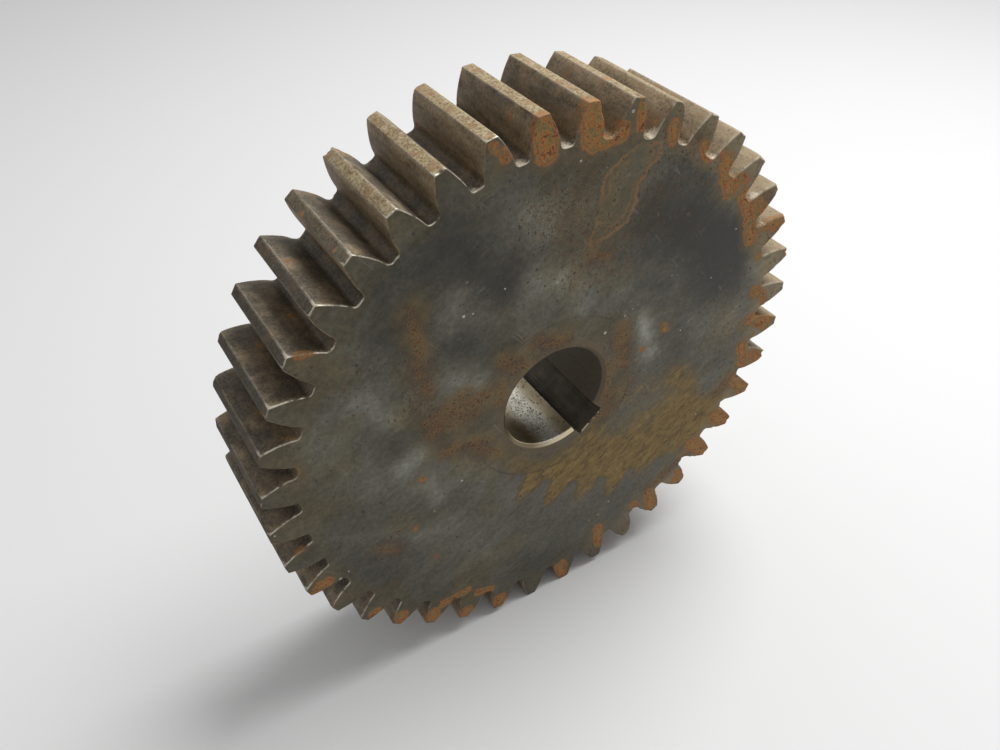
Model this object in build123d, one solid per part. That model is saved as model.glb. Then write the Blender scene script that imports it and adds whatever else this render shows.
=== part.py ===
from build123d import *
from math import acos, cos, pi, radians, sin, tan
import os

# Spur gear with a keyed bore, in millimetres.
# It stands on its rim: the axis runs along Y, the gear rests on two teeth,
# and the space between those two teeth points straight down.
# The origin is on the axis, halfway through the face width.

# Toothing
module = 6.0
tooth_count = 40
pressure_angle = 20.0
addendum = module
dedendum = 1.35 * module
root_fillet = 1.6

# Blank
face_width = 49.0

# Shaft seat, turned with a chamfer at each mouth
bore_diameter = 48.0
bore_chamfer = 1.5

# Keyway, broached right through and centred on one tooth
keyway_width = 14.0
keyway_depth = 5.0
teeth_from_floor_to_keyway = 4

# Sampling of one tooth flank, and how far the cutter runs past the tips
flank_points = 7
cutter_overrun = 0.5

# Values that follow
pitch_radius = module * tooth_count / 2
base_radius = pitch_radius * cos(radians(pressure_angle))
tip_radius = pitch_radius + addendum
root_radius = pitch_radius - dedendum
bore_radius = bore_diameter / 2
pitch_angle = 360 / tooth_count
down = -90.0
keyway_angle = down + pitch_angle * (teeth_from_floor_to_keyway + 0.5)


def involute(angle):
    """Involute function, tan(a) - a, of an angle in radians."""
    return tan(angle) - angle


def half_space_angle(radius):
    """Half the angle of a tooth space at a radius, in radians."""
    angle = acos(min(1.0, base_radius / radius))
    half_tooth = pi / (2 * tooth_count) + involute(radians(pressure_angle)) - involute(angle)
    return pi / tooth_count - half_tooth


def flank(side):
    """One flank of a space, radial up to the base circle and an involute beyond it."""
    reach = tip_radius + cutter_overrun - base_radius
    radii = [base_radius + reach * step / (flank_points - 1) for step in range(flank_points)]
    points = []
    for radius in [root_radius] + radii:
        angle = side * half_space_angle(radius)
        points.append((radius * cos(angle), radius * sin(angle)))
    return points


def tooth_space():
    """Outline of one space between two teeth, centred on +X, with filleted root corners."""
    lower = flank(-1)
    upper = flank(1)
    root = ThreePointArc(lower[0], (root_radius, 0), upper[0])
    mouth = Line(upper[-1], lower[-1])
    outline = make_face([Spline(*lower), root, Spline(*upper), mouth])
    root_corners = outline.vertices().sort_by(Axis.X)[:2]
    return fillet(root_corners, root_fillet)


def gear_section():
    """Full section of the toothed blank, with one space pointing straight down."""
    spaces = PolarLocations(0, tooth_count, start_angle=down)
    return Circle(tip_radius) - [place * tooth_space() for place in spaces]


def turned_bore():
    """Cutter for the bore: a cylinder that opens into a cone at both faces."""
    half_width = face_width / 2
    mouth_radius = bore_radius + bore_chamfer
    half_outline = [
        (0, -half_width - bore_chamfer),
        (mouth_radius + bore_chamfer, -half_width - bore_chamfer),
        (bore_radius, -half_width + bore_chamfer),
        (bore_radius, half_width - bore_chamfer),
        (mouth_radius + bore_chamfer, half_width + bore_chamfer),
        (0, half_width + bore_chamfer),
    ]
    profile = make_face(Polyline(*half_outline, close=True))
    return revolve(profile, Axis.Y)


def keyway():
    """Cutter for the keyway: a square-cornered slot from the axis out to its floor."""
    floor_distance = bore_radius + keyway_depth
    slot = Box(floor_distance, 2 * face_width, keyway_width, align=(Align.MIN, Align.CENTER, Align.CENTER))
    return Rot(0, -keyway_angle, 0) * slot


gear = extrude(Plane.XZ * gear_section(), face_width / 2, both=True)
gear = gear - turned_bore() - keyway()
gear.label = "spur_gear"

os.makedirs("parts", exist_ok=True)
export_step(gear, "parts/spur_gear.step")
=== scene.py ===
import math

import bpy
import numpy as np
from mathutils import Matrix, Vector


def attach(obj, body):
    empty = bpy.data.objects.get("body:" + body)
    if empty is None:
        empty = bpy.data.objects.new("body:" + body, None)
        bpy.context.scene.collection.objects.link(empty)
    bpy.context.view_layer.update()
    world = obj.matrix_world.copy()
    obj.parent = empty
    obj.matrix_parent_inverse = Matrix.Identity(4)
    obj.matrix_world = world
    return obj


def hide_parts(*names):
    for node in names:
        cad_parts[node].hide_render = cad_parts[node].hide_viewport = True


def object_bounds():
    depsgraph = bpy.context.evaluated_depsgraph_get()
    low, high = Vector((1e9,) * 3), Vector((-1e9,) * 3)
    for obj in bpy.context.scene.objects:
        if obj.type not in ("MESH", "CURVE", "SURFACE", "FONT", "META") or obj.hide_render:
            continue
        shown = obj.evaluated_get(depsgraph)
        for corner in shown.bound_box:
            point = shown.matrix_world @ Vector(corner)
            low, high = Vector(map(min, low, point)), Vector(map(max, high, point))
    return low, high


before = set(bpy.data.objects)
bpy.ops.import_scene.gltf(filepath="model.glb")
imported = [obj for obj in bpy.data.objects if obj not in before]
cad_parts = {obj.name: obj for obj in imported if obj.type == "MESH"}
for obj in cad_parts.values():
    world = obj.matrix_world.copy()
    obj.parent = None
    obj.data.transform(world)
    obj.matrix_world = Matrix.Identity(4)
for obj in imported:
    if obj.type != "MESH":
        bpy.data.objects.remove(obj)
cad_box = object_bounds()


# ---------------------------------------------------------------------------
# Toothed rim
# Forty straight teeth are hobbed into the rim of a solid steel disc. Years of
# running and rough storage have rounded and nicked the ends of the teeth.

TEETH = 40
MODULE = 6.0
PRESSURE_ANGLE = math.radians(20)
PITCH_RADIUS = MODULE * TEETH / 2
BASE_RADIUS = PITCH_RADIUS * math.cos(PRESSURE_ANGLE)
TIP_RADIUS = PITCH_RADIUS + MODULE
ROOT_RADIUS = PITCH_RADIUS - 1.35 * MODULE
ROOT_FILLET = 1.6
TIP_ROUND = 0.4
HALF_WIDTH = 24.5
DOWN = -math.pi / 2
PITCH = 2 * math.pi / TEETH

# Points along half a tooth, from the middle of a space to the middle of a tooth
ROOT_STEPS, FILLET_STEPS, FLANK_STEPS, CORNER_STEPS, LAND_STEPS = 2, 3, 7, 2, 2
HALF_STEPS = ROOT_STEPS + FILLET_STEPS + FLANK_STEPS + CORNER_STEPS + LAND_STEPS
RIM_POINTS = 2 * HALF_STEPS * TEETH
FACE_POINTS = RIM_POINTS // 4

rng = np.random.default_rng(11)


def space_angle(radius):
    """Half the angle of a tooth space: half a pitch less the involute tooth's half thickness."""
    angle = np.arccos(np.minimum(1.0, BASE_RADIUS / radius))
    involute = np.tan(angle) - angle
    involute_at_pitch = math.tan(PRESSURE_ANGLE) - PRESSURE_ANGLE
    return PITCH / 2 - (PITCH / 4 + involute_at_pitch - involute)


def half_tooth():
    """Radius and angle from the middle of a space to the middle of the next tooth.

    A root arc, a fillet circle that touches root and flank, the involute flank,
    a quadratic curve over the tip corner, and the tip arc."""
    flank_start = space_angle(BASE_RADIUS)
    fillet_middle = ROOT_RADIUS + ROOT_FILLET
    fillet_turn = flank_start - math.asin(ROOT_FILLET / fillet_middle)
    root_turn = np.linspace(0, fillet_turn, ROOT_STEPS, endpoint=False)
    sweep = np.linspace(fillet_turn + math.pi, flank_start + math.pi / 2, FILLET_STEPS, endpoint=False)
    x = fillet_middle * math.cos(fillet_turn) + ROOT_FILLET * np.cos(sweep)
    y = fillet_middle * math.sin(fillet_turn) + ROOT_FILLET * np.sin(sweep)
    flank_from = math.sqrt(fillet_middle ** 2 - ROOT_FILLET ** 2)
    flank = np.linspace(flank_from, TIP_RADIUS - TIP_ROUND, FLANK_STEPS, endpoint=False)
    t = np.linspace(0, 1, CORNER_STEPS, endpoint=False)
    low, tip = space_angle(TIP_RADIUS - TIP_ROUND), space_angle(TIP_RADIUS)
    land_from = tip + TIP_ROUND / TIP_RADIUS
    corner_turn = (1 - t) ** 2 * low + 2 * t * (1 - t) * tip + t ** 2 * land_from
    land_turn = np.linspace(land_from, PITCH / 2, LAND_STEPS + 1)
    radius = [np.full(ROOT_STEPS, ROOT_RADIUS), np.hypot(x, y), flank,
              TIP_RADIUS - TIP_ROUND * (1 - t) ** 2, np.full(LAND_STEPS + 1, TIP_RADIUS)]
    angle = [root_turn, np.arctan2(y, x), space_angle(flank), corner_turn, land_turn]
    return np.concatenate(radius), np.concatenate(angle)


def rim_outline():
    """Polar outline of the whole rim, half teeth mirrored and repeated, and how far round an inset moves
    each point: a flank gives way sideways, a land or root straight in."""
    radius, angle = half_tooth()
    lean = np.interp(np.arange(HALF_STEPS + 1),
                     [0, ROOT_STEPS, ROOT_STEPS + FILLET_STEPS, HALF_STEPS - LAND_STEPS, HALF_STEPS],
                     [0, 0, 0.9, 0.9, 0])
    radius = np.concatenate([radius, radius[-2:0:-1]])
    angle = np.concatenate([angle, PITCH - angle[-2:0:-1]])
    lean = np.concatenate([lean, -lean[-2:0:-1]])
    turns = DOWN + PITCH * np.arange(TEETH)
    return np.tile(radius, TEETH), (turns[:, None] + angle).ravel(), np.tile(lean, TEETH)


def wander(count, knots, low, high):
    """A closed random curve: cosine-blended values between evenly spaced knots."""
    values = rng.uniform(low, high, knots)
    place = np.arange(count) * knots / count
    step = place.astype(int)
    blend = (1 - np.cos(np.pi * (place - step))) / 2
    return values[step % knots] * (1 - blend) + values[(step + 1) % knots] * blend


# Radius in mm to which the ends of the teeth are worn round, most on the right of the front face
WEAR_KNOTS = 300
HEAVY_WEAR, HEAVY_WEAR_AT, HEAVY_WEAR_SPREAD = 0.55, 118, 38

rim_radius, rim_angle, rim_lean = rim_outline()
rim_x, rim_z = rim_radius * np.cos(rim_angle), rim_radius * np.sin(rim_angle)
right_side = np.exp(-((np.degrees(rim_angle - DOWN) - HEAVY_WEAR_AT) / HEAVY_WEAR_SPREAD) ** 2)
front_wear = wander(RIM_POINTS, WEAR_KNOTS, 0.1, 0.45) + HEAVY_WEAR * right_side
back_wear = wander(RIM_POINTS, WEAR_KNOTS, 0.12, 0.5)


FLANK_EASE = 0.55


def rim_ring(inset, depth):
    """One ring of the rim at a depth through the width: the outline moved inwards by inset, and on the
    flanks less so, since they also move sideways."""
    radius = rim_radius - inset * (1 - FLANK_EASE * np.abs(rim_lean))
    angle = rim_angle + rim_lean * inset / TIP_RADIUS
    return np.stack([radius * np.cos(angle), np.broadcast_to(depth, radius.shape), radius * np.sin(angle)], 1)


rounding = np.radians([0, 30, 60, 90])
front_edge = [rim_ring(front_wear * (1 - math.sin(a)), -HALF_WIDTH + front_wear * (1 - math.cos(a)))
              for a in rounding]
back_edge = [rim_ring(back_wear * (1 - math.sin(a)), HALF_WIDTH - back_wear * (1 - math.cos(a)))
             for a in rounding]
# Rings across the width in mm from the front face, closer where the front ends are seen
across = np.array([1.3, 1.9, 2.7, 3.7, 5, 6.5, 8.5, 11, 14, 17.5, 21, 25, 29.5, 34, 38.5, 42, 44.8, 46.6, 47.9])
rim_rings = front_edge + [rim_ring(0, a - HALF_WIDTH) for a in across] + back_edge[::-1]


# ---------------------------------------------------------------------------
# Bore and keyway
# The shaft seat is bored and chamfered on a lathe. One square keyway is then
# broached right through, in line with a tooth.

BORE_RADIUS = 24.0
BORE_CHAMFER = 1.5
KEYWAY_HALF = 7.0
KEYWAY_FLOOR = 29.0
KEYWAY_BREAK = 0.35
KEYWAY_ANGLE = DOWN + PITCH * 4.5
KEYWAY_COLUMN = round((KEYWAY_ANGLE - DOWN) / (2 * math.pi) * FACE_POINTS)
FLOOR_COLUMNS, WALL_COLUMNS = 8, 6
BORE_RINGS = 16


def bore_ring(radius, depth, broken=0.0):
    """One ring of the bore: an arc cut by the keyway's two walls and its floor, each a straight run.

    broken widens the keyway where its edges are broken at the mouth."""
    half_floor, floor = KEYWAY_HALF + broken, KEYWAY_FLOOR + broken
    wall_foot = math.sqrt(radius ** 2 - half_floor ** 2)
    notch = FLOOR_COLUMNS + WALL_COLUMNS
    step = (np.arange(FACE_POINTS) - KEYWAY_COLUMN + FACE_POINTS // 2) % FACE_POINTS - FACE_POINTS // 2
    side, away = np.sign(step), np.abs(step)
    turn = np.interp(away, [notch, FACE_POINTS / 2], [math.asin(half_floor / radius), math.pi])
    in_arc = away > notch
    along = np.where(in_arc, radius * np.cos(turn), np.interp(away, [FLOOR_COLUMNS, notch], [floor, wall_foot]))
    aside = side * np.where(in_arc, radius * np.sin(turn), np.interp(away, [0, FLOOR_COLUMNS], [0, half_floor]))
    c, s = math.cos(KEYWAY_ANGLE), math.sin(KEYWAY_ANGLE)
    return np.stack([along * c - aside * s, np.full(FACE_POINTS, depth), along * s + aside * c], 1)


MOUTH_RADIUS = BORE_RADIUS + BORE_CHAMFER
front_mouth = bore_ring(MOUTH_RADIUS, -HALF_WIDTH, KEYWAY_BREAK)
back_mouth = bore_ring(MOUTH_RADIUS, HALF_WIDTH, KEYWAY_BREAK)
bore_depths = np.linspace(HALF_WIDTH - BORE_CHAMFER, BORE_CHAMFER - HALF_WIDTH, BORE_RINGS)
bore_rings = [back_mouth] + [bore_ring(BORE_RADIUS, depth) for depth in bore_depths]


# ---------------------------------------------------------------------------
# Faces
# Both faces are turned flat from the bore to the tips of the teeth.

HUB_RING = 34.0
TOOTH_RING = 108.0


def circle(radius, depth, count):
    """A plain ring of evenly spaced points, starting straight down."""
    angle = DOWN + 2 * math.pi * np.arange(count) / count
    return np.stack([radius * np.cos(angle), np.full(count, depth), radius * np.sin(angle)], 1)


def face_rings(mouth, outline, near_mouth, circles, near_teeth):
    """Rings of one face: straight blends from the bore mouth to the hub circle, plain circles, and
    straight blends from the tooth circle to the outline of the teeth. The circles are given as radii
    and the blends as shares of the way."""
    depth = mouth[0, 1]
    hub = circle(HUB_RING, depth, FACE_POINTS)
    foot = circle(TOOTH_RING, depth, RIM_POINTS)
    rings = [mouth + (hub - mouth) * t for t in near_mouth]
    rings += [circle(radius, depth, FACE_POINTS) for radius in circles]
    return rings + [foot + (outline - foot) * t for t in near_teeth]


front_rings = face_rings(front_mouth, front_edge[0], circles=np.arange(35.5, 107.5, 1.5),
                         near_mouth=[0, 0.06, 0.2, 0.4, 0.6, 0.8, 1],
                         near_teeth=[0, 0.11, 0.22, 0.33, 0.44, 0.55, 0.66, 0.77, 0.88, 0.97])
back_rings = face_rings(back_mouth, back_edge[0], circles=np.arange(42, 107, 8.0),
                        near_mouth=[0.06, 0.5, 1], near_teeth=[0, 0.25, 0.5, 0.75, 0.97])[::-1]


# ---------------------------------------------------------------------------
# The gear's skin
# One closed surface: out over the front face, across the teeth, in over the
# back face, and home through the bore.

FRONT, RIM, BACK, BORE = range(4)
skin_rings = [(FRONT, ring) for ring in front_rings] + [(RIM, ring) for ring in rim_rings]
skin_rings += [(BACK, ring) for ring in back_rings] + [(BORE, ring) for ring in bore_rings]


def skin(rings):
    """Bands between neighbouring rings: quads between rings of one size, and fans of triangles where one
    point of a face meets four of the rim. Returns points, quads, triangles, and the part each belongs to."""
    starts = np.cumsum([0] + [len(ring) for _, ring in rings])
    quads, triangles, quad_part, triangle_part = [], [], [], []
    for here, (part, ring) in enumerate(rings):
        after = (here + 1) % len(rings)
        a, b, n, m = starts[here], starts[after], len(ring), len(rings[after][1])
        i = np.arange(min(n, m))
        j = (i + 1) % len(i)
        if n == m:
            quads.append(np.stack([a + i, b + i, b + j, a + j], 1))
            quad_part.append(np.full(n, part))
            continue
        coarse, fine = (a, b) if n < m else (b, a)
        k = [fine + (4 * i + s) % max(n, m) for s in range(5)]
        i, j = coarse + i, coarse + j
        for corners in [(i, k[0], k[1]), (i, k[1], k[2]), (i, k[2], j), (j, k[2], k[3]), (j, k[3], k[4])]:
            triangles.append(np.stack(corners if n < m else corners[::-1], 1))
            triangle_part.append(np.full(len(i), part))
    points = np.concatenate([ring for _, ring in rings])
    return (points, np.concatenate(quads), np.concatenate(triangles),
            np.concatenate(quad_part + triangle_part))


points, quads, triangles, part_of = skin(skin_rings)
x, y, z = points.T
radius = np.hypot(x, z)
depth = y + HALF_WIDTH
ON_FACE = 1e-6
CHUNKS = 40
on_front = depth < ON_FACE


def outline_distance(px, pz):
    """Distance from each point to the nearest point of the rim's outline, sampled finely."""
    ox = np.concatenate([rim_x, (rim_x + np.roll(rim_x, -1)) / 2])
    oz = np.concatenate([rim_z, (rim_z + np.roll(rim_z, -1)) / 2])
    gaps = [np.hypot(cx[:, None] - ox, cz[:, None] - oz).min(1)
            for cx, cz in zip(np.array_split(px, CHUNKS), np.array_split(pz, CHUNKS))]
    return np.concatenate(gaps)


# Distance in mm to the nearest edge of a tooth, and how far up the rim faces there, from its outline's normal
FAR = 20.0
TOOTH_ENDS = 104.0
ahead = np.hypot(np.roll(rim_x, -1) - rim_x, np.roll(rim_z, -1) - rim_z)
travelled = np.concatenate([[0], np.cumsum(ahead)[:-1]])
corner = np.arange(RIM_POINTS) % (2 * HALF_STEPS)
corner = np.isin(corner, [HALF_STEPS - LAND_STEPS - 1, HALF_STEPS + LAND_STEPS + 1])
corner_gap = np.abs(travelled[:, None] - travelled[corner]).min(1)
rim_up = -(np.roll(rim_x, -1) - np.roll(rim_x, 1)) / (np.roll(ahead, 1) + ahead)

edge = np.full(len(points), FAR)
upward = np.zeros(len(points))
at_teeth = (radius > TOOTH_ENDS) & (on_front | (depth > 2 * HALF_WIDTH - ON_FACE))
edge[at_teeth] = outline_distance(x[at_teeth], z[at_teeth])
column = np.concatenate([np.arange(len(ring)) if len(ring) == RIM_POINTS else np.full(len(ring), -1)
                         for _, ring in skin_rings])
upward[column >= 0] = rim_up[column[column >= 0]]
part_at = np.concatenate([np.full(len(ring), part) for part, ring in skin_rings])
on_rim = part_at == RIM
to_face = np.minimum(depth, 2 * HALF_WIDTH - depth)
edge[on_rim] = np.minimum(to_face[on_rim], corner_gap[column[on_rim]])

# Nicks: small hollows pressed into the edges of the tooth ends
NICKS = 170
nick_at = rng.integers(0, RIM_POINTS, NICKS)
nick_size = rng.uniform(0.9, 2.2, NICKS)
nick_depth = nick_size * rng.uniform(0.12, 0.32, NICKS)
nick_front = rng.random(NICKS) < 0.6
for at, size, deep, is_front in zip(nick_at, nick_size, nick_depth, nick_front):
    place = np.array([rim_x[at], -HALF_WIDTH if is_front else HALF_WIDTH, rim_z[at]])
    inward = np.array([-math.cos(rim_angle[at]), 0.8 if is_front else -0.8, -math.sin(rim_angle[at])])
    near = np.clip(1 - ((points - place) ** 2).sum(1) / size ** 2, 0, 1) ** 2
    points += near[:, None] * inward * deep


# ---------------------------------------------------------------------------
# Marks on the gear
# Where rust, stains, smoke-dark patches and pale patches lie. Each mark
# is a stroke from one place to another in mm, right and up from the bore's axis,
# then its half-width, and for soft marks its strength. LEAF holds the corners of
# one closed tide line. The list of lit root spots holds the middle and half-width of
# each pale spot of painted light, where the roots between the teeth are lit near the front face.

RUST = [(-29, 119.5, -29, 119.5, 2.2), (-24.5, 115.5, -24.5, 115.5, 3.4), (-10, 122, -8.5, 112.5, 5.4),
        (9, 123, 11, 113, 6.2), (12, 111, 22, 112, 4.5), (31, 120, 31, 112, 3), (46, 108, 47, 103, 3),
        (63, 95, 66, 90.5, 3.2), (75, 87, 77, 79, 3.8), (77, 79, 80, 72, 4.2), (80, 77, 86, 76, 3),
        (88, 68, 94, 55, 3.4), (94, 55, 97, 44, 3.8), (98, 62, 101, 56, 3), (103, 49, 116, 47, 3.2),
        (105, 33, 105, 33, 1.8), (122, 30, 122, 30, 1.8), (106, 15, 112, 10, 3), (108, -2, 120, -9, 3.8),
        (106, -17, 109, -28, 3.4), (115, -26, 121, -31, 3), (106, -38, 114, -48, 3.6),
        (98, -58, 106, -67, 4.6), (84, -70, 94, -81, 4.4), (80, -92, 82, -95, 2.8), (60, -92, 64, -107, 3.6),
        (50, -95, 52, -97, 2.8), (29, -100, 31, -113, 3.4), (7, -114, 8, -122, 3.8),
        (-28, -116, -28, -119, 3.8), (-40, -103, -33, -105, 2.6), (-46, -112, -48, -115, 3.8),
        (-58, -98, -46, -97, 2.6), (-64, -102, -64, -106, 4.2), (-79, -92, -79, -94, 3.8),
        (-91, -80.5, -91, -80.5, 3.2), (-108, -46, -113, -48, 3), (-122, -18, -117, -20, 3.6),
        (-112, 18, -112, 18, 2.4), (-102, 67, -100, 67, 2.6), (43.5, 7.5, 43.5, 7.5, 1.4),
        (-63, -13, -63, -13, 1.7), (-68, -39, -68, -39, 1.6), (-60, -63, -60, -63, 1.5),
        (54, 16, 56, 13, 1.6)]
CRUST = [(-24, 30, -18, 25, 3.2), (-10, 33, 2, 29, 2.6), (-26, 20, -27, 12, 2), (31, 22, 34, 4, 3.2),
         (25, 6, 27, -12, 2.2), (-58, 15, -34, 17, 3.6), (-49, 21, -42, 23, 2), (-58, 9, -38, 11, 2),
         (-52, -3, -34, -7, 2.6), (-38, -9, -29, -15, 2), (-62, 68, -60, 50, 2.2), (-61, 46, -58, 30, 1.6),
         (50, 105, 62, 97, 1.8), (100, 66, 106, 54, 2.4), (20, -22, 30, -20, 1.6),
         (60, -88, 84, -76, 2.2), (-84, -42, -78, -46, 1.6), (96, -40, 108, -34, 2.2), (12, 66, 22, 62, 1.2)]
DARK = [(58, 68, 86, 38, 20, 1.35), (80, 50, 84, 28, 12, 0.7), (-45, 90, -42, 84, 12, 0.7),
        (-26, 68, -25, 62, 8, 0.7), (-72, 60, -70, 54, 8, 0.6), (-50, 50, -38, 42, 9, 0.3),
        (-70, 75, -60, 84, 12, 0.5), (-10, -100, 8, -97, 9, 0.4), (-45, 88, -25, 66, 10, 0.45),
        (-82, 22, -72, 12, 7, 0.35), (34, 74, 50, 92, 8, 0.3), (60, 10, 66, -2, 8, 0.3),
        (-32, 33, -20, 38, 3, 0.5), (38, 46, 50, 38, 4, 0.4), (-80, -92, -60, -80, 8, 0.2),
        (-100, -40, -84, -56, 10, 0.3)]
PALE = [(-84, 38, -72, 22, 6, 0.9), (-62, -16, -57, -28, 5, 0.7), (-70, -2, -62, 3, 5, 0.9),
        (42, 24, 48, 4, 5, 1.2), (10, 50, 12, 44, 8, 0.6), (-12, 62, 0, 60, 7, 0.8), (-14, 88, -10, 82, 8, 0.6),
        (-50, -60, -25, -75, 16, 0.25), (-100, 25, -74, -22, 14, 0.3), (80, 66, 84, 62, 6, 0.6),
        (100, 35, 104, 27, 6, 1.1), (-46, 32, -42, 26, 8, 0.5), (-66, -44, -52, -44, 7, 0.5),
        (-44, 68, -48, 56, 5, 0.5), (84, 16, 96, 8, 10, 0.5), (-30, -30, -46, -14, 9, 0.25),
        (-10, -66, 24, -76, 8, 0.2), (8, 30, 30, 40, 8, 0.3)]
BROWN = [(10, 92, 16, 66, 16, 0.9), (-100, 60, -94, 54, 9, 0.8), (-100, 12, -108, 0, 12, 0.6),
         (-30, -86, -44, -92, 12, 0.8), (-62, 70, -62, 20, 8, 0.8), (-22, 30, 24, 24, 12, 0.8),
         (-54, 14, -36, 14, 11, 0.8), (-52, 0, -30, -16, 11, 0.9), (32, 18, 32, -18, 8, 0.9),
         (0, -30, 0, -36, 12, 0.5), (106, 44, 96, 66, 10, 0.9), (50, 104, 64, 96, 9, 0.9),
         (0, 104, 24, 108, 8, 0.5), (60, -95, 90, -70, 14, 0.8), (108, -40, 112, -10, 10, 0.8),
         (-80, -74, -96, -62, 9, 0.4), (60, 55, 46, 74, 9, 0.4), (44, 80, 40, 74, 7, 0.7),
         (-70, -40, -90, -14, 12, 0.3), (86, -6, 60, -30, 18, 0.5), (112, 38, 118, 20, 8, 0.7)]
SPECKS = [(2, 92, 8, 74, 16, 1.0), (46, 86, 36, 68, 11, 1.0), (24, 64, 12, 60, 8, 0.6),
          (-62, 66, -62, 26, 5, 1.0), (-24, 30, 4, 28, 6, 1.0), (30, 22, 34, -14, 7, 0.9),
          (-52, 14, -36, 14, 8, 0.8), (-78, -42, -86, -46, 8, 0.6), (50, 106, 66, 92, 9, 0.9),
          (10, 118, 10, 110, 9, 0.5), (100, 60, 104, 50, 10, 0.9), (-12, 88, 0, 98, 10, 0.6),
          (-84, 50, -90, 44, 10, 0.2), (88, 10, 100, -30, 14, 0.3), (30, -10, 44, -14, 8, 0.5)]
FILM = [(-10, -44, 10, -48, 12, 1.0), (14, -40, 34, -50, 12, 1.0), (0, -58, 0, -62, 7, 0.8),
        (20, -30, 28, -12, 7, 0.7), (50, -52, 70, -50, 15, 0.75), (74, -44, 98, -58, 12, 1.0),
        (84, -66, 94, -78, 10, 0.8), (44, -66, 62, -64, 10, 0.6), (-26, -18, -14, -34, 7, 0.6),
        (66, -14, 76, -26, 7, 0.6), (100, -46, 106, -36, 9, 0.8), (14, -66, 36, -72, 9, 0.55),
        (40, -14, 54, -30, 14, 0.35), (96, 0, 104, -6, 6, 0.5), (106, 40, 98, 62, 7, 0.7)]
LEAF = np.array([(12, 70), (20, 71.5), (28, 75), (31.5, 82), (32.5, 89), (36, 94), (41.5, 98), (40.5, 103),
                 (33, 105), (27, 103.5), (20, 99.5), (16.5, 95), (15, 86), (13.5, 77)])
LIT_ROOT_SPOTS = [(-36, 107, 2.2), (-18, 110.5, 2.6), (0, 113, 2.8), (19, 112, 2), (37, 107, 2.8), (52, 101, 2.4),
         (68, 90, 2), (95, 66, 2.6), (103, 51, 2.6)]


def stroke_distance(x1, z1, x2, z2):
    """Distance on the face from every point to the line between two places."""
    run, rise = x2 - x1, z2 - z1
    t = np.clip(((x - x1) * run + (z - z1) * rise) / max(run ** 2 + rise ** 2, 1e-9), 0, 1)
    return np.hypot(x - x1 - t * run, z - z1 - t * rise)


def hard_marks(marks):
    """How far inside the nearest stroke's half-width each point lies in mm, less 1.1 mm a mm behind the face."""
    inside = np.max([size - np.hypot(stroke_distance(*ends), 1.1 * depth) for *ends, size in marks], 0)
    return np.maximum(inside, -FAR)


def soft_marks(marks):
    """Sum of strokes that each fade as exp(-(distance / size) squared), and fade away behind the face."""
    total = sum(strength * np.exp(-(stroke_distance(*ends) / size) ** 2) for *ends, size, strength in marks)
    return total * np.exp(-(depth / 6) ** 2)


def drifts(size, count=14):
    """Cloudy variation between about -1 and 1: a sum of plane waves of random direction near one wavelength."""
    heading = rng.normal(size=(count, 3))
    heading /= np.linalg.norm(heading, axis=1)[:, None]
    wave = 2 * math.pi / (size * rng.uniform(0.7, 1.6, count))
    phase = rng.uniform(0, 2 * math.pi, count)
    return np.cos((points @ heading.T) * wave + phase).sum(1) / math.sqrt(count)


def closed_line_distance(corners):
    """Distance to a closed line of corners, positive inside it by the even-odd rule."""
    nearest, inside = np.full(len(points), np.inf), np.zeros(len(points), bool)
    for (x1, z1), (x2, z2) in zip(corners, np.roll(corners, -1, 0)):
        nearest = np.minimum(nearest, stroke_distance(x1, z1, x2, z2))
        crosses = (z1 > z) != (z2 > z)
        inside ^= crosses & (x < x1 + (z - z1) * (x2 - x1) / (z2 - z1 if z2 != z1 else 1))
    return np.where(inside, nearest, -nearest)


PRINT_AT, PRINT_TURN = (64, 42.7), math.radians(-0.5)
NEAR_PRINT = 25


def second_gear_print(middle_x, middle_z, turn):
    """Distance to the outline that a like gear left where it lay on the face, positive inside it. Near the
    outline it is the distance to its points, and elsewhere the difference in radius."""
    px, pz = x - middle_x, z - middle_z
    c, s = math.cos(turn), math.sin(turn)
    px, pz = px * c + pz * s, pz * c - px * s
    reach = np.hypot(px, pz)
    at = (np.arctan2(pz, px) - DOWN) % (2 * math.pi)
    rim_there = np.interp(at, rim_angle - DOWN, rim_radius, period=2 * math.pi)
    nearest = np.abs(rim_there - reach)
    close = on_front & (nearest < NEAR_PRINT)
    nearest[close] = outline_distance(px[close], pz[close])
    return np.where(reach < rim_there, nearest, -nearest)


# How far inside each lit spot on the roots a point lies: painted light where the roots catch the light near the
# front face
lit_roots = np.max([size - np.hypot(np.hypot(x - cx, z - cz), 0.5 * depth) for cx, cz, size in LIT_ROOT_SPOTS], 0)
rim_turn = np.degrees(np.arctan2(z, x) - DOWN) % 360
# How pale the lands are, by degrees round from the bottom: pale scale together with painted light, most on top
# where the lands face the lamp, none at lower left, where the lands face down and are painted dark as shade
SCALE_AND_LIGHT_TURNS = [0, 30, 60, 110, 204, 211, 218, 224, 300, 360]
SCALE_AND_LIGHT_LEVELS = [0.1, 0.3, 0.8, 1, 1, 0.85, 0.3, 0.12, 0, 0.1]
marks = {
    "rust": hard_marks(RUST),
    "crust": hard_marks(CRUST),
    "tone": soft_marks(PALE) - soft_marks(DARK) + 0.15 * drifts(24) + 0.06 * drifts(12),
    "brown": soft_marks(BROWN) + 0.25 * drifts(18),
    "specks": soft_marks(SPECKS),
    "film": soft_marks(FILM),
    "leaf": np.maximum(closed_line_distance(LEAF), -FAR),
    "print": np.clip(second_gear_print(*PRINT_AT, PRINT_TURN), -FAR, FAR),
    "lit_roots": np.maximum(lit_roots, -FAR),
    "scale_and_light": np.interp(rim_turn, SCALE_AND_LIGHT_TURNS, SCALE_AND_LIGHT_LEVELS),
    "edge": edge,
    "upward": upward,
}


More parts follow.
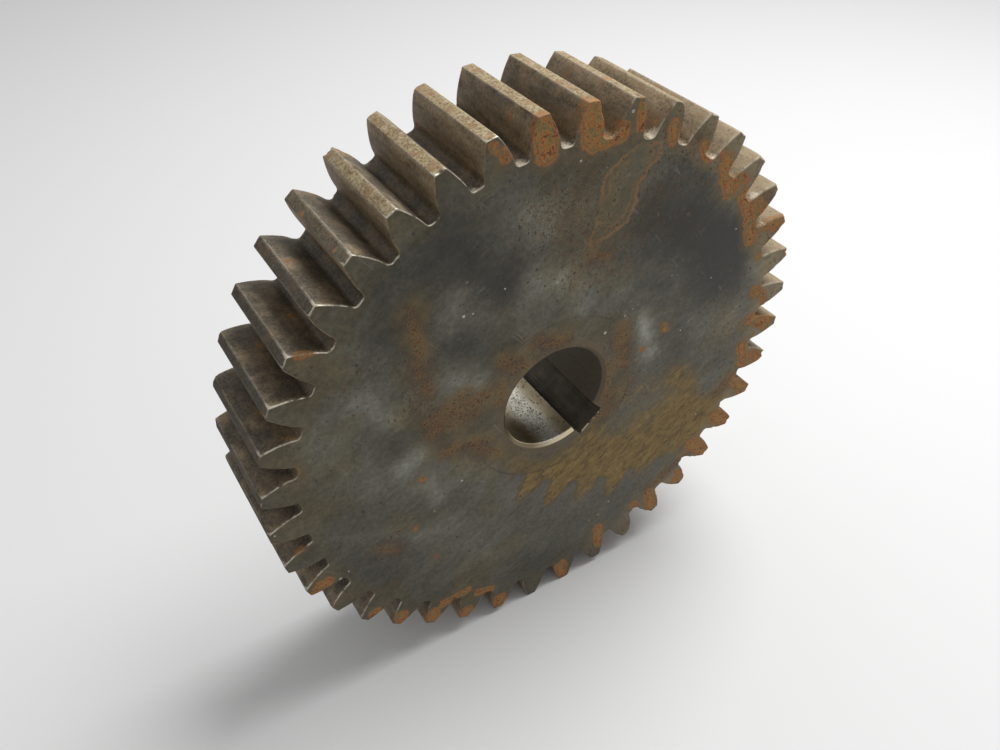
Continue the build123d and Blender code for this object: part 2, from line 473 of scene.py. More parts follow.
# ---------------------------------------------------------------------------
# Finishes
# Old bare steel: patina over the turned faces, brown oxide on the teeth with painted
# shade at the roots and on the left flanks, pale scale and dust with painted light on the
# lands and right flanks, rust in patches, bright rubbed edges with a painted highlight
# where they face up, a painted reflection and highlight in the bore, and painted shade in the keyway.

class Finish:
    """Wires one node tree. A plain value given for a socket is set on it; another socket is linked to it."""

    def __init__(self, tree):
        self.tree = tree

    def node(self, kind, inputs, output=0, **settings):
        made = self.tree.nodes.new("ShaderNode" + kind)
        for name, value in settings.items():
            setattr(made, name, value)
        for name, value in inputs.items():
            if isinstance(value, bpy.types.NodeSocket):
                self.tree.links.new(value, made.inputs[name])
            elif isinstance(value, tuple) and len(value) == 3 and made.inputs[name].type == "RGBA":
                made.inputs[name].default_value = (*value, 1)
            else:
                made.inputs[name].default_value = value
        return made.outputs[output] if made.outputs else made

    def sums(self, operation, a, b=0.0):
        return self.node("Math", {0: a, 1: b}, operation=operation)

    def fold(self, operation, values):
        total = values[0]
        for value in values[1:]:
            total = self.sums(operation, total, value)
        return total

    def add(self, *values):
        return self.fold("ADD", values)

    def times(self, *values):
        return self.fold("MULTIPLY", values)

    def most(self, *values):
        return self.fold("MAXIMUM", values)

    def without(self, value):
        return self.sums("SUBTRACT", 1.0, value)

    def swing(self, value, amount):
        """A noise value between 0 and 1, turned into one between minus and plus half the amount."""
        return self.node("Math", {0: value, 1: amount, 2: -amount / 2}, operation="MULTIPLY_ADD")

    def noise(self, point, size, detail=2.0, rough=0.5, twist=0.0):
        """Noise with features of about the size in mm."""
        return self.node("TexNoise", {"Vector": point, "Scale": 1 / size, "Detail": detail,
                                      "Roughness": rough, "Distortion": twist})

    def stretched(self, point, turn, scale):
        """The point turned in the plane of the faces, then scaled along right, through and up."""
        turned = self.node("Mapping", {"Vector": point, "Rotation": (0, math.radians(turn), 0)})
        return self.node("VectorMath", {0: turned, 1: scale}, operation="MULTIPLY")

    def mask(self, value, low, high):
        """0 up to low and 1 from high on, with a smooth step between, or the other way round."""
        return self.node("MapRange", {"Value": value, "From Min": low, "From Max": high},
                         interpolation_type="SMOOTHSTEP")

    def band(self, value, middle, half, soft):
        """1 within half of a middle value, fading over soft."""
        away = self.sums("ABSOLUTE", self.sums("SUBTRACT", value, middle))
        return self.mask(away, half + soft, half)

    def blend(self, mask, below, above):
        return self.node("Mix", {0: mask, 6: below, 7: above}, output=2, data_type="RGBA")

    def level(self, mask, below, above):
        return self.node("Mix", {0: mask, 2: below, 3: above}, data_type="FLOAT")

    def ramp(self, value, stops):
        made = self.tree.nodes.new("ShaderNodeValToRGB")
        elements = made.color_ramp.elements
        elements[0].position, elements[0].color = stops[0][0], (*stops[0][1], 1)
        elements[1].position, elements[1].color = stops[-1][0], (*stops[-1][1], 1)
        for position, colour in stops[1:-1]:
            elements.new(position).color = (*colour, 1)
        self.tree.links.new(value, made.inputs[0])
        return made.outputs[0]

    def mark(self, name):
        return self.node("Attribute", {}, output=2, attribute_name=name)

    def group(self, tree, inputs):
        """Places a finish group and returns its outputs by name."""
        made = self.tree.nodes.new("ShaderNodeGroup")
        made.node_tree = tree
        for name, value in inputs.items():
            if isinstance(value, bpy.types.NodeSocket):
                self.tree.links.new(value, made.inputs[name])
            else:
                made.inputs[name].default_value = value
        return made.outputs

    def millimetres(self):
        place = self.node("TexCoord", {}, output="Object")
        return self.node("VectorMath", {0: place, 1: (1000, 1000, 1000)}, operation="MULTIPLY")

    def axis(self, point, index):
        """How far right, through the width or up a point lies, for index 0, 1 or 2."""
        return self.node("SeparateXYZ", {0: point}, output=index)

    def from_axis(self, point):
        """Distance from the bore's axis, which runs through the width."""
        flat = self.node("VectorMath", {0: point, 1: (1, 0, 1)}, operation="MULTIPLY")
        return self.node("VectorMath", {0: flat}, output="Value", operation="LENGTH")


def finish_group(name, inputs, outputs):
    """An empty node group with named sockets, its inputs by name, and a way to close its outputs."""
    tree = bpy.data.node_groups.new(name, "ShaderNodeTree")
    for socket, (kind, default) in inputs.items():
        made = tree.interface.new_socket(name=socket, in_out="INPUT", socket_type="NodeSocket" + kind)
        if default is not None:
            made.default_value = default
    for socket, kind in outputs.items():
        tree.interface.new_socket(name=socket, in_out="OUTPUT", socket_type="NodeSocket" + kind)
    entry = tree.nodes.new("NodeGroupInput")
    leave = tree.nodes.new("NodeGroupOutput")

    def close(**results):
        for socket, value in results.items():
            tree.links.new(value, leave.inputs[socket])

    return tree, Finish(tree), {socket: entry.outputs[socket] for socket in inputs}, close


# Patina: cloudy grey-brown steel, darker or paler with Tone, olive with Brown
patina_tree, p, given, close = finish_group(
    "patina", {"Point": ("Vector", None), "Tone": ("Float", 0.0), "Brown": ("Float", 0.0)},
    {"Color": "Color", "Gloss": "Float"})
drift = p.noise(p.stretched(given["Point"], 35, (0.6, 1, 1.2)), 8, 4, 0.62, 0.6)
mottle = p.noise(given["Point"], 2.2, 3, 0.7)
level = p.add(given["Tone"], p.swing(drift, 1.15), p.swing(mottle, 1.55))
shade = p.node("MapRange", {"Value": level, "From Min": -1.4, "From Max": 1.6})
steel_colour = p.ramp(shade, [(0.0, (0.026, 0.025, 0.020)), (0.25, (0.041, 0.039, 0.029)),
                              (0.45, (0.072, 0.067, 0.049)), (0.62, (0.107, 0.101, 0.076)),
                              (0.82, (0.162, 0.161, 0.132)), (1.0, (0.27, 0.27, 0.230))])
olive = p.times(p.mask(p.add(given["Brown"], p.swing(drift, -0.8), p.swing(mottle, 0.8)), -0.1, 1.0), 0.75)
browned = p.node("Mix", {0: olive, 6: steel_colour, 7: (1.12, 0.93, 0.60, 1)}, output=2,
                 data_type="RGBA", blend_type="MULTIPLY")
close(Color=browned, Gloss=p.mask(p.add(p.swing(drift, 1.0), p.swing(mottle, 0.8)), -0.5, 0.6))

# Rust: a patch whose Depth in mm is made ragged by noise, with tide lines of darker orange inside its rim
rust_tree, p, given, close = finish_group(
    "rust_patch", {"Point": ("Vector", None), "Depth": ("Float", -FAR)}, {"Color": "Color", "Mask": "Float"})
ragged = p.noise(given["Point"], 4.2, 2, 0.5, 0.3)
crumbs = p.noise(given["Point"], 0.9, 2, 0.6)
inside = p.add(given["Depth"], p.swing(ragged, 4.0), p.swing(crumbs, 1.3))
patches = p.noise(given["Point"], 3.0, 3, 0.65, 0.5)
scale = p.ramp(p.add(patches, p.swing(crumbs, 0.65)),
               [(0.26, (0.048, 0.021, 0.011)), (0.36, (0.150, 0.046, 0.014)), (0.45, (0.340, 0.125, 0.022)),
                (0.53, (0.235, 0.130, 0.032)), (0.62, (0.150, 0.112, 0.040)), (0.76, (0.085, 0.078, 0.043))])
rim_line = p.times(p.band(inside, 0.25, 0.3, 0.4), 0.75)
tide = p.times(p.band(inside, 1.7, 0.2, 0.3), 0.6)
lined = p.blend(rim_line, scale, (0.21, 0.088, 0.026))
lined = p.blend(tide, lined, (0.16, 0.062, 0.022))
pitted = p.times(p.mask(crumbs, 0.38, 0.30), 0.8)
lined = p.blend(pitted, lined, (0.045, 0.022, 0.012))
close(Color=lined, Mask=p.mask(inside, -0.2, 0.4))

# Specks: one round Spot in each cell of Size mm, and the cell's Chance between 0 and 1 to pick it by
speck_tree, p, given, close = finish_group(
    "specks", {"Point": ("Vector", None), "Size": ("Float", 1.5)}, {"Spot": "Float", "Chance": "Float"})
scaled = p.node("VectorMath", {0: given["Point"], 3: p.sums("DIVIDE", 1.0, given["Size"])}, operation="SCALE")
away = p.node("TexVoronoi", {"Vector": scaled, "Scale": 1.0})
cell_colour = away.node.outputs["Color"]
cell = p.node("SeparateColor", {0: cell_colour}).node
spot = p.mask(p.sums("SUBTRACT", away, p.times(cell.outputs[1], 0.22)), 0.24, 0.10)
close(Spot=spot, Chance=cell.outputs[0])

# Scratches: thin lines where stretched noise crosses its middle value, in two directions
scratch_tree, p, given, close = finish_group("scratches", {"Point": ("Vector", None)}, {"Mask": "Float"})
lines = []
for turn, size in [(28, 7.0), (-55, 8.0)]:
    drawn = p.noise(p.stretched(given["Point"], turn, (0.05, 0.05, 1.0)), size, 1, 0.5)
    lines.append(p.band(drawn, 0.5, 0.002, 0.004))
gate = p.mask(p.noise(given["Point"], 11, 1), 0.58, 0.68)
close(Mask=p.times(p.most(*lines), gate))

# Worn edge: where steel within Width mm of an edge is rubbed bright
edge_tree, p, given, close = finish_group(
    "worn_edge", {"Point": ("Vector", None), "Edge": ("Float", FAR), "Width": ("Float", 0.6)},
    {"Mask": "Float"})
uneven = p.swing(p.noise(given["Point"], 1.8, 2, 0.6), 2.4)
reach = p.sums("DIVIDE", given["Edge"], given["Width"])
close(Mask=p.mask(p.add(reach, uneven), 1.1, 0.5))


def material(name):
    made = bpy.data.materials.new(name)
    made.use_nodes = True
    made.node_tree.nodes.clear()
    return made, Finish(made.node_tree)


def close_material(finish, colour, metallic, roughness, height, lift):
    """Ends a material: lift is what a height of 1 means, in mm."""
    bump = finish.node("Bump", {"Height": height, "Distance": lift / 1000, "Strength": 1.0})
    surface = finish.node("BsdfPrincipled", {"Base Color": colour, "Metallic": metallic,
                                             "Roughness": roughness, "Normal": bump})
    finish.node("OutputMaterial", {"Surface": surface})


# Front face: film and print, leaf and ring marks, specks, crust and rust over the patina
FILM_EDGE, PRINT_DARK = (0.080, 0.052, 0.026), (0.070, 0.056, 0.035)
LEAF_TAN, LEAF_OLIVE = (0.125, 0.092, 0.040), (0.085, 0.072, 0.037)
TIDE_ORANGE, END_TAN = (0.205, 0.098, 0.032), (0.200, 0.155, 0.085)
RING_BROWN, RING_DARK, MOUTH_BROWN = (0.070, 0.057, 0.030), (0.036, 0.031, 0.022), (0.105, 0.068, 0.031)
SPECK_DARK, SPECK_RUSTY, PIT_BLACK = (0.046, 0.027, 0.016), (0.120, 0.055, 0.024), (0.028, 0.026, 0.020)
FLECK_BRIGHT, SCRATCH_BRIGHT = (0.45, 0.43, 0.36), (0.26, 0.25, 0.22)
WASH_DARK, WASH_OCHRE, HALO_BROWN = (0.062, 0.037, 0.019), (0.130, 0.088, 0.032), (0.115, 0.078, 0.036)
EDGE_RUBBED_AND_LIT = (0.32, 0.285, 0.225)
front_material, f = material("front_face_steel")
at = f.millimetres()
broad = f.noise(at, 11, 2, 0.5)
middling = f.noise(at, 4.5, 3, 0.6)
fine = f.noise(at, 1.3, 2, 0.6)
from_axis = f.from_axis(at)
rightward = f.axis(at, 0)
tooth_end = f.mask(from_axis, 104, 113)
patina = f.group(patina_tree, {"Point": at, "Tone": f.mark("tone"),
                               "Brown": f.add(f.mark("brown"), f.times(tooth_end, 0.55))})
colour = patina["Color"]

film_ragged = f.add(f.mark("print"), f.swing(middling, 1.6), f.swing(fine, 1.0))
streaks = f.noise(f.stretched(at, 32, (0.55, 1, 1.2)), 3.4, 4, 0.68, 0.8)
film = f.add(f.mark("film"), f.swing(streaks, 0.8), f.swing(middling, 0.8), f.swing(broad, 0.4))
film = f.mask(film, 0.05, 0.95)
film = f.times(f.mask(film_ragged, -0.5, 0.6), film)
film_colour = f.ramp(f.add(streaks, f.swing(fine, 0.3)),
                     [(0.30, (0.060, 0.040, 0.015)), (0.48, (0.150, 0.093, 0.023)),
                      (0.70, (0.230, 0.152, 0.048))])
colour = f.blend(f.times(film, 0.9), colour, film_colour)
film_edge = f.times(f.band(film_ragged, 0.5, 0.35, 0.7), f.mask(f.mark("film"), 0.05, 0.5))
colour = f.blend(f.times(film_edge, 0.4), colour, FILM_EDGE)
print_line = f.times(f.band(f.mark("print"), 0.0, 0.6, 1.5), f.mask(broad, 0.42, 0.62))
colour = f.blend(f.times(print_line, 0.25), colour, PRINT_DARK)

leaf_ragged = f.add(f.mark("leaf"), f.swing(middling, 4.0), f.swing(fine, 0.8))
colour = f.blend(f.times(f.mask(leaf_ragged, -0.2, 0.8), 0.6), colour, f.blend(
    f.mask(middling, 0.4, 0.6), LEAF_TAN, LEAF_OLIVE))
leaf_line = f.times(f.band(leaf_ragged, 0.0, 0.4, 0.6), f.mask(broad, 0.28, 0.46))
leaf_tide = f.times(f.band(leaf_ragged, 2.8, 0.3, 0.6), f.mask(broad, 0.45, 0.6), 0.6)
colour = f.blend(f.times(f.most(leaf_line, leaf_tide), 0.7), colour, TIDE_ORANGE)

ring_wobble = f.add(from_axis, f.swing(broad, 0.8))
ring_inside = f.times(f.mask(ring_wobble, 40.0, 39.0), f.mask(middling, 0.3, 0.7), 0.65)
colour = f.blend(ring_inside, colour, RING_BROWN)
ring_line = f.times(f.band(ring_wobble, 39.5, 0.25, 0.4), f.mask(broad, 0.38, 0.58), 0.6)
colour = f.blend(ring_line, colour, RING_DARK)
mouth_stain = f.mask(f.add(from_axis, f.swing(middling, 7.0), f.swing(fine, 2.0)), 29.5, 26.5)
colour = f.blend(f.times(mouth_stain, 0.6), colour, MOUTH_BROWN)

tanned = f.mask(f.add(middling, f.swing(fine, 0.6)), 0.25, 0.55)
tanned = f.times(tooth_end, f.mask(rightward, 10, 80), tanned, 0.85)
colour = f.blend(tanned, colour, END_TAN)
coarse = f.group(speck_tree, {"Point": at, "Size": 1.9})
small = f.group(speck_tree, {"Point": at, "Size": 1.2})
crust_depth = f.add(f.mark("crust"), f.swing(middling, 9.0), f.swing(fine, 4.0))
brown_here = f.add(f.mark("specks"), f.times(f.mask(crust_depth, -3, 2), 0.5))
brown_specks = f.most(
    f.times(coarse["Spot"], f.sums("LESS_THAN", coarse["Chance"], brown_here)),
    f.times(small["Spot"], f.sums("LESS_THAN", small["Chance"], f.add(brown_here, 0.03))))
speck_colour = f.blend(f.mask(middling, 0.45, 0.62), SPECK_DARK, SPECK_RUSTY)
colour = f.blend(f.times(brown_specks, 0.8), colour, speck_colour)
pits = f.most(f.times(coarse["Spot"], f.sums("GREATER_THAN", coarse["Chance"], 0.965)),
              f.times(small["Spot"], f.sums("GREATER_THAN", small["Chance"], 0.975)))
colour = f.blend(f.times(pits, 0.75), colour, PIT_BLACK)
flecks = f.times(coarse["Spot"], f.band(coarse["Chance"], 0.955, 0.0015, 0.0005))
colour = f.blend(f.times(flecks, 0.8), colour, FLECK_BRIGHT)
scratches = f.group(scratch_tree, {"Point": at})["Mask"]
colour = f.blend(f.times(scratches, 0.22), colour, SCRATCH_BRIGHT)

crust = f.times(f.mask(crust_depth, -1.8, 0.8), f.mask(fine, 0.60, 0.48))
crust_colour = f.ramp(f.add(f.times(fine, 0.8), f.times(middling, 0.2)),
                      [(0.34, (0.020, 0.012, 0.008)), (0.42, (0.065, 0.029, 0.012)),
                       (0.48, (0.165, 0.080, 0.024)), (0.56, (0.140, 0.096, 0.036))])
wash = f.blend(f.mask(broad, 0.42, 0.58), WASH_DARK, WASH_OCHRE)
colour = f.blend(f.times(f.mask(crust_depth, -6.5, 0.5), 0.6), colour, wash)
colour = f.blend(f.times(crust, 0.75), colour, crust_colour)

# Rust also blooms by itself, over the tooth ends of the right side and here and there on the teeth: mm of
# depth for each 1 of broad noise, and the depth on the face and on the teeth where that noise is 0
BLOOM_SLOPE, FACE_BLOOM, TEETH_BLOOM = 34.0, -18.5, -23.5
bloom = f.node("Math", {0: broad, 1: BLOOM_SLOPE, 2: FACE_BLOOM}, operation="MULTIPLY_ADD")
no_bloom = f.without(f.times(tooth_end, f.mask(rightward, 20, 75)))
bloom = f.add(bloom, f.times(no_bloom, -FAR))
rusted = f.group(rust_tree, {"Point": at, "Depth": f.most(f.mark("rust"), bloom)})
halo = f.times(f.mask(f.add(f.mark("rust"), f.swing(middling, 6.0)), -4.5, 0.5), 0.4)
colour = f.blend(halo, colour, HALO_BROWN)
colour = f.blend(f.times(rusted["Mask"], 0.92), colour, rusted["Color"])
# Edges of the tooth ends that face up are paler: rubbed wear together with a painted highlight where they face
# the light
rubbed = f.group(edge_tree, {"Point": at, "Edge": f.mark("edge"), "Width": 0.5})["Mask"]
rubbed = f.times(rubbed, f.mask(f.mark("upward"), 0.1, 0.8), f.mask(middling, 0.38, 0.56),
                 f.without(f.times(rusted["Mask"], 0.8)), 0.5)
colour = f.blend(rubbed, colour, EDGE_RUBBED_AND_LIT)

dull = f.most(rusted["Mask"], f.times(film, 0.9), brown_specks, crust)
metallic = f.level(dull, 0.5, 0.0)
roughness = f.level(dull, f.level(patina["Gloss"], 0.50, 0.38), 0.85)
rust_here = f.mask(f.mark("rust"), -1.0, 1.0)
height = f.add(f.times(fine, f.level(f.most(rust_here, crust), 0.25, 1.6)), f.times(pits, -1.2),
               f.times(brown_specks, -0.5))
close_material(f, colour, metallic, roughness, height, 0.10)

# Teeth: oxide on the flanks, painted shade at the roots and on the up-facing flanks on the left, pale dust with
# painted light on the right, and scale with painted light and shade on the lands
ROOT_SHADE, CONTACT_DARK = (0.058, 0.042, 0.024), (0.070, 0.054, 0.034)
FLANK_SHADE_DARK, FLANK_SHADE_GREY = (0.030, 0.024, 0.016), (0.072, 0.062, 0.045)
FLANK_RED, DUST_AND_LIGHT_CREAM = (0.170, 0.078, 0.040), (0.25, 0.195, 0.118)
LAND_STAIN, SCALE_STAIN = (0.090, 0.052, 0.026), (0.185, 0.100, 0.043)
FRECKLE_BROWN, ROOT_LIGHT_PALE, TOOTH_EDGE_BARE_AND_LIT = (0.058, 0.034, 0.018), (0.50, 0.43, 0.33), (0.46, 0.42, 0.34)
teeth_material, f = material("tooth_steel")
at = f.millimetres()
along = f.axis(at, 0)
through = f.axis(at, 1)
from_axis = f.from_axis(at)
on_land = f.mask(from_axis, TIP_RADIUS - 0.3, TIP_RADIUS - 0.12)
drawn_out = f.stretched(at, 0, (1, 0.25, 1))
broad = f.noise(at, 9, 2, 0.5)
middling = f.noise(drawn_out, 3.5, 3, 0.6)
fine = f.noise(at, 1.1, 3, 0.68)
flank_colour = f.ramp(f.add(f.times(middling, 0.4), f.times(fine, 0.5), f.times(broad, 0.1)),
                      [(0.37, (0.078, 0.052, 0.027)), (0.46, (0.172, 0.122, 0.067)),
                       (0.54, (0.235, 0.172, 0.100)), (0.65, (0.315, 0.240, 0.146))])
# The flanks darken towards the roots: painted shade deep in the spaces between the teeth
root_shade = f.mask(f.add(from_axis, f.swing(middling, 2.5)), ROOT_RADIUS + 6, ROOT_RADIUS)
colour = f.blend(f.times(root_shade, 0.45), flank_colour, ROOT_SHADE)
# Up-facing flanks on the left are painted dark: painted shade where the teeth above them cast shadow
left_flank_shade = f.times(f.mask(f.mark("upward"), 0.05, 0.5), f.mask(along, 50, -20), f.mask(broad, 0.8, 0.35))
colour = f.blend(f.times(left_flank_shade, 0.85), colour, f.blend(f.mask(fine, 0.4, 0.62), FLANK_SHADE_DARK, FLANK_SHADE_GREY))
contact = f.band(f.add(from_axis, f.swing(middling, 3.0)), 119.5, 1.6, 2.0)
colour = f.blend(f.times(contact, 0.3), colour, CONTACT_DARK)
reddish = f.times(f.mask(broad, 0.52, 0.64), f.mask(along, -30, 50), f.mask(fine, 0.35, 0.55), 0.55)
colour = f.blend(reddish, colour, FLANK_RED)

# Up-facing flanks on the right are paler: pale dust together with painted light where they face the lamp
dust_and_light = f.times(f.mask(f.mark("upward"), 0.25, 0.9), f.mark("scale_and_light"), f.mask(along, 20, 105),
               f.mask(fine, 0.25, 0.6), f.without(on_land))
colour = f.blend(f.times(dust_and_light, 0.75), colour, DUST_AND_LIGHT_CREAM)

# The lands blend from near black at lower left to pale scale on top: real scale, with painted light on the lands
# that face up and painted shade on those that face down
scale_mix = f.add(f.times(fine, 0.8), f.times(broad, 0.25))
land_scale = f.ramp(scale_mix, [(0.38, (0.120, 0.068, 0.030)), (0.47, (0.180, 0.126, 0.062)),
                                (0.56, (0.245, 0.195, 0.108)), (0.68, (0.330, 0.275, 0.170))])
land_plain = f.ramp(scale_mix, [(0.38, (0.022, 0.017, 0.011)), (0.54, (0.038, 0.033, 0.022)),
                                (0.70, (0.060, 0.054, 0.040))])
colour = f.blend(on_land, colour, f.blend(f.mark("scale_and_light"), land_plain, land_scale))
stain = f.times(f.mask(f.noise(at, 6, 2), 0.52, 0.66), on_land, 0.6)
colour = f.blend(stain, colour, f.blend(f.mark("scale_and_light"), LAND_STAIN, SCALE_STAIN))

freckle_cells = f.group(speck_tree, {"Point": at, "Size": 1.2})
freckled = f.sums("LESS_THAN", freckle_cells["Chance"], f.level(on_land, 0.12, 0.34))
freckles = f.times(freckle_cells["Spot"], freckled)
colour = f.blend(f.times(freckles, 0.55), colour, FRECKLE_BROWN)
bloom = f.node("Math", {0: broad, 1: BLOOM_SLOPE, 2: TEETH_BLOOM}, operation="MULTIPLY_ADD")
rusted = f.group(rust_tree, {"Point": at, "Depth": f.most(f.mark("rust"), bloom)})
colour = f.blend(f.times(rusted["Mask"], 0.7), colour, rusted["Color"])
# Pale spots on the roots near the front face: painted light where the roots are lit
root_light = f.mask(f.add(f.mark("lit_roots"), f.swing(fine, 3.5)), 0.0, 1.4)
colour = f.blend(f.times(root_light, 0.85), colour, ROOT_LIGHT_PALE)
# Edges of the teeth are paler: rubbed bare metal together with a painted highlight, strongest on the up-facing
# edges on the left
rubbed = f.group(edge_tree, {"Point": at, "Edge": f.mark("edge"), "Width": 0.65})["Mask"]
front_end = f.mask(through, -20, -23)
bare_and_lit = f.times(f.mask(f.mark("upward"), 0.15, 0.7), f.level(f.mask(along, 30, -50), 0.4, 1.0),
                f.without(f.times(f.mask(f.mark("rust"), -1.5, 0.5), 0.9)))
rubbed = f.times(rubbed, f.mask(middling, 0.34, 0.54),
                 f.level(front_end, f.level(on_land, 0.25, 0.12), bare_and_lit))
colour = f.blend(rubbed, colour, TOOTH_EDGE_BARE_AND_LIT)
dull = f.most(f.times(on_land, 0.9), rusted["Mask"], root_light, dust_and_light)
metallic = f.level(rubbed, f.level(dull, 0.2, 0.0), 0.8)
roughness = f.level(rubbed, f.level(dull, 0.62, 0.9), 0.42)
height = f.add(f.times(fine, f.level(on_land, 0.4, 1.0)), f.times(freckles, -0.6))
close_material(f, colour, metallic, roughness, height, 0.12)

# Back face: the same patina, plain
BACK_DOT, BACK_EDGE_RUBBED = (0.050, 0.030, 0.018), (0.40, 0.37, 0.31)
back_material, f = material("back_face_steel")
at = f.millimetres()
patina = f.group(patina_tree, {"Point": at, "Tone": f.mark("tone"), "Brown": f.add(f.mark("brown"), 0.3)})
cells = f.group(speck_tree, {"Point": at, "Size": 1.3})
dots = f.times(cells["Spot"], f.sums("LESS_THAN", cells["Chance"], 0.08))
colour = f.blend(f.times(dots, 0.7), patina["Color"], BACK_DOT)
rubbed = f.group(edge_tree, {"Point": at, "Edge": f.mark("edge"), "Width": 0.5})["Mask"]
colour = f.blend(f.times(rubbed, 0.4), colour, BACK_EDGE_RUBBED)
scratches = f.group(scratch_tree, {"Point": at})["Mask"]
colour = f.blend(f.times(scratches, 0.22), colour, SCRATCH_BRIGHT)
height = f.add(f.times(f.noise(at, 1.3, 2, 0.6), 0.25), f.times(dots, -0.8))
close_material(f, colour, f.level(dots, 0.5, 0.0), f.level(patina["Gloss"], 0.50, 0.38), height, 0.10)

# Bore: a bright strip along its bottom, painted as a reflection, dark on the right, with short pits drawn out
# along it
BESIDE_KEYWAY, BORE_DARK = (0.150, 0.128, 0.095), (0.075, 0.060, 0.042)
CHAMFER_DARK, CHAMFER_HIGHLIGHT, DASH_BLACK = (0.115, 0.086, 0.048), (0.78, 0.67, 0.47), (0.016, 0.014, 0.010)
bore_material, f = material("bore_steel")
at = f.millimetres()
turned = f.noise(f.stretched(at, 0, (0.4, 2.5, 0.4)), 1.0, 2, 0.6)
smears = f.noise(at, 7, 3, 0.55)
toward_dark = f.node("VectorMath", {0: at, 1: (0.030, 0, 0.022)}, output="Value", operation="DOT_PRODUCT")
dark_side = f.mask(f.add(toward_dark, f.swing(smears, 0.3)), 0.05, 0.35)
bright = f.ramp(f.add(f.times(smears, 0.6), f.times(turned, 0.45)),
                [(0.38, (0.50, 0.465, 0.38)), (0.52, (0.70, 0.665, 0.57)), (0.68, (0.88, 0.86, 0.78))])
rightward = f.axis(at, 0)
# A bright strip along the bottom and top of the bore: painted reflection
reflection_strip = f.band(f.add(rightward, f.swing(smears, 4.0)), -1.0, 2.5, 6.0)
stained = f.ramp(smears, [(0.35, (0.420, 0.335, 0.200)), (0.65, (0.560, 0.480, 0.330))])
colour = f.blend(reflection_strip, stained, bright)
colour = f.blend(f.times(f.mask(rightward, 2.5, 9.5), 0.6), colour, BESIDE_KEYWAY)
colour = f.blend(dark_side, colour, BORE_DARK)
from_axis = f.from_axis(at)
chamfer = f.mask(from_axis, BORE_RADIUS + 0.1, BORE_RADIUS + 0.4)
upright = f.axis(at, 2)
# The chamfer along the bottom of the mouth, which faces up, is painted bright: a painted highlight, strongest to
# the right
lit_chamfer = f.times(chamfer, f.mask(f.add(upright, f.swing(smears, 6.0)), -13, -20),
                       f.level(f.mask(f.add(rightward, f.swing(smears, 14.0)), -14, 8), 0.12, 1.0))
colour = f.blend(f.times(chamfer, 0.9), colour, CHAMFER_DARK)
colour = f.blend(lit_chamfer, colour, CHAMFER_HIGHLIGHT)
cells = f.group(speck_tree, {"Point": f.stretched(at, 0, (1, 0.3, 1)), "Size": 0.55})
pitted_here = f.times(f.mask(f.noise(at, 9, 2), 0.1, 0.4), f.level(reflection_strip, 0.25, 1.0), f.without(chamfer))
dashes = f.times(cells["Spot"], f.sums("LESS_THAN", cells["Chance"], pitted_here))
colour = f.blend(f.times(dashes, 0.95), colour, DASH_BLACK)
height = f.add(f.times(turned, 0.3), f.times(dashes, -1.5))
metallic = f.times(f.level(dashes, 1.0, 0.2), f.level(dark_side, 1.0, 0.3))
close_material(f, colour, metallic, f.level(f.most(dashes, dark_side), 0.30, 0.65), height, 0.08)

# Keyway: broached, painted dark as shade in the slot, with a painted highlight along its front lip
LIP_HIGHLIGHT = (0.62, 0.56, 0.44)
keyway_material, f = material("keyway_steel")
at = f.millimetres()
broached = f.noise(f.stretched(at, 0, (3.0, 0.05, 3.0)), 1.0, 2, 0.6)
shade_blotches = f.noise(at, 6, 3, 0.6)
# The keyway's dark colours are painted shade in the slot
colour = f.ramp(f.add(f.times(broached, 0.5), f.times(shade_blotches, 0.6)),
                [(0.4, (0.030, 0.025, 0.018)), (0.6, (0.062, 0.050, 0.035)), (0.75, (0.11, 0.085, 0.055))])
through = f.axis(at, 1)
# A pale line along the front lip: painted highlight
lip = f.times(f.mask(through, -23.9, -24.2), f.mask(f.noise(at, 2.5, 2), 0.38, 0.5))
colour = f.blend(lip, colour, LIP_HIGHLIGHT)
close_material(f, colour, 0.4, 0.55, broached, 0.08)


# ---------------------------------------------------------------------------
# The gear
# The skin becomes one object, which stands for the plain solid.

def build_mesh(name, points, quads, triangles, part_of):
    """A mesh from whole arrays: the corners of the quads, then those of the triangles."""
    mesh = bpy.data.meshes.new(name)
    mesh.vertices.add(len(points))
    mesh.vertices.foreach_set("co", (points / 1000).ravel())
    corners = np.concatenate([quads.ravel(), triangles.ravel()])
    starts = np.concatenate([4 * np.arange(len(quads)), 4 * len(quads) + 3 * np.arange(len(triangles))])
    mesh.loops.add(len(corners))
    mesh.loops.foreach_set("vertex_index", corners)
    mesh.polygons.add(len(starts))
    mesh.polygons.foreach_set("loop_start", starts)
    mesh.polygons.foreach_set("use_smooth", np.ones(len(starts), bool))
    mesh.polygons.foreach_set("material_index", part_of)
    mesh.update(calc_edges=True)
    return mesh


# The bore's faces that lie in the keyway: within its width and further out than the bore there
KEYWAY = 4
KEYWAY_FROM = 22.9
KEYWAY_SLACK = 0.4
SHARP_ANGLE = math.radians(38)

quad_middle = points[quads].mean(1)
quad_along = quad_middle[:, 0] * math.cos(KEYWAY_ANGLE) + quad_middle[:, 2] * math.sin(KEYWAY_ANGLE)
quad_aside = np.abs(quad_middle[:, 2] * math.cos(KEYWAY_ANGLE) - quad_middle[:, 0] * math.sin(KEYWAY_ANGLE))
in_keyway = (quad_aside < KEYWAY_HALF + KEYWAY_SLACK) & (quad_along > KEYWAY_FROM)
in_keyway &= part_of[:len(quads)] == BORE
part_of[:len(quads)][in_keyway] = KEYWAY

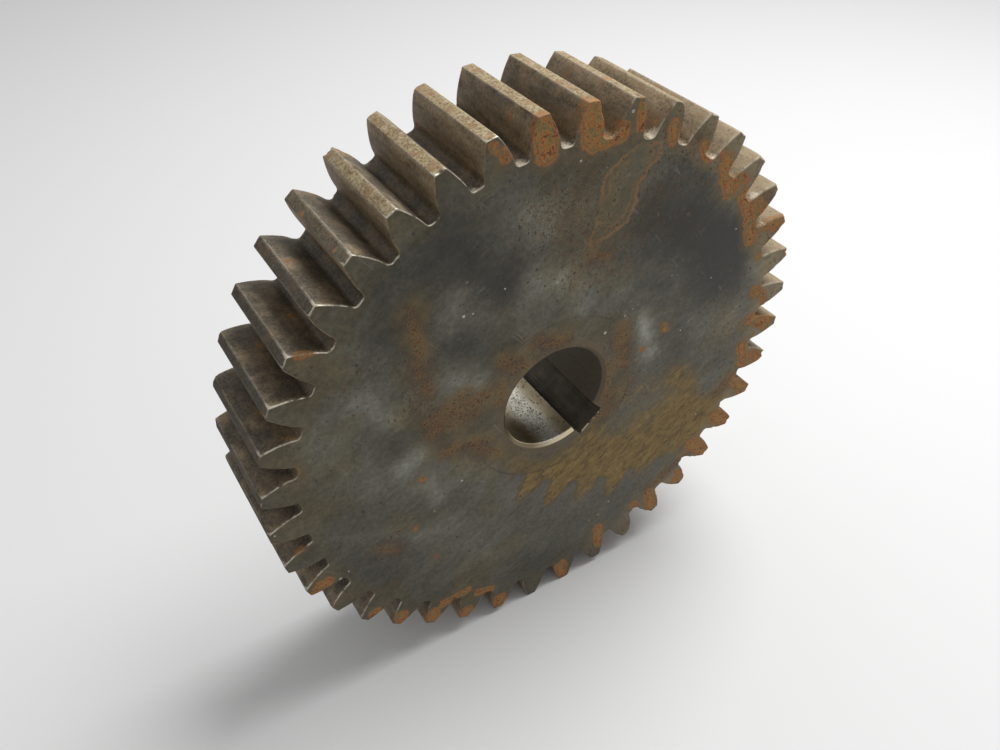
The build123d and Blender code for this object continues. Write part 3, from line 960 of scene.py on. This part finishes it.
gear_mesh = build_mesh("gear_skin", points, quads, triangles, part_of)
for name, values in marks.items():
    gear_mesh.attributes.new(name, "FLOAT", "POINT").data.foreach_set("value", values.astype(np.float32))
for made in [front_material, teeth_material, back_material, bore_material, keyway_material]:
    gear_mesh.materials.append(made)
gear_mesh.set_sharp_from_angle(angle=SHARP_ANGLE)
gear = bpy.data.objects.new("gear_body", gear_mesh)
bpy.context.scene.collection.objects.link(gear)
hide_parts("spur_gear")
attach(gear, "root")


# ---------------------------------------------------------------------------
# Floor and studio light
# A plain pale floor that runs back out of sight, a white sky, and one broad lamp
# overhead and to the right. The camera looks down at the front face from the left.

FLOOR_Z = cad_box[0][2]
FLOOR_REACH = 4
FLOOR_GREY = 0.55
SKY_STRENGTH = 0.62
LAMP_AT, LAMP_SIZE, LAMP_WATTS = (0.56, 0.08, 1.05), 0.9, 20
CAMERA_AT = (-0.1644, -0.2498, 0.2501)
CAMERA_ROUND, CAMERA_DOWN, CAMERA_ROLL = -31.35, 40.47, -0.40
LENS, SENSOR = 32.69, 36

floor_mesh = bpy.data.meshes.new("floor")
floor_corners = [(side * FLOOR_REACH, end * FLOOR_REACH, FLOOR_Z)
                 for side, end in [(-1, -1), (1, -1), (1, 1), (-1, 1)]]
floor_mesh.from_pydata(floor_corners, [], [(0, 1, 2, 3)])
floor = bpy.data.objects.new("floor", floor_mesh)
bpy.context.scene.collection.objects.link(floor)
floor_material, f = material("floor_paint")
floor_surface = f.node("BsdfPrincipled", {"Base Color": (FLOOR_GREY,) * 3, "Roughness": 0.8})
f.node("OutputMaterial", {"Surface": floor_surface})
floor_mesh.materials.append(floor_material)

world = bpy.data.worlds.new("studio")
bpy.context.scene.world = world
world.use_nodes = True
world.node_tree.nodes["Background"].inputs["Color"].default_value = (1, 1, 1, 1)
world.node_tree.nodes["Background"].inputs["Strength"].default_value = SKY_STRENGTH

lamp = bpy.data.lights.new("overhead", "AREA")
lamp.shape = "DISK"
lamp.size = LAMP_SIZE
lamp.energy = LAMP_WATTS
overhead = bpy.data.objects.new("overhead", lamp)
overhead.location = LAMP_AT
overhead.rotation_euler = overhead.location.to_track_quat("Z", "Y").to_euler()
bpy.context.scene.collection.objects.link(overhead)

camera_data = bpy.data.cameras.new("camera")
camera_data.sensor_width = SENSOR
camera_data.lens = LENS
camera = bpy.data.objects.new("camera", camera_data)
camera.location = CAMERA_AT
aim = Matrix.Rotation(math.radians(CAMERA_ROUND), 3, "Z")
aim = aim @ Matrix.Rotation(math.radians(90 - CAMERA_DOWN), 3, "X")
camera.rotation_euler = (aim @ Matrix.Rotation(math.radians(CAMERA_ROLL), 3, "Z")).to_euler()
bpy.context.scene.collection.objects.link(camera)
bpy.context.scene.camera = camera
bpy.context.scene.view_settings.view_transform = "Standard"
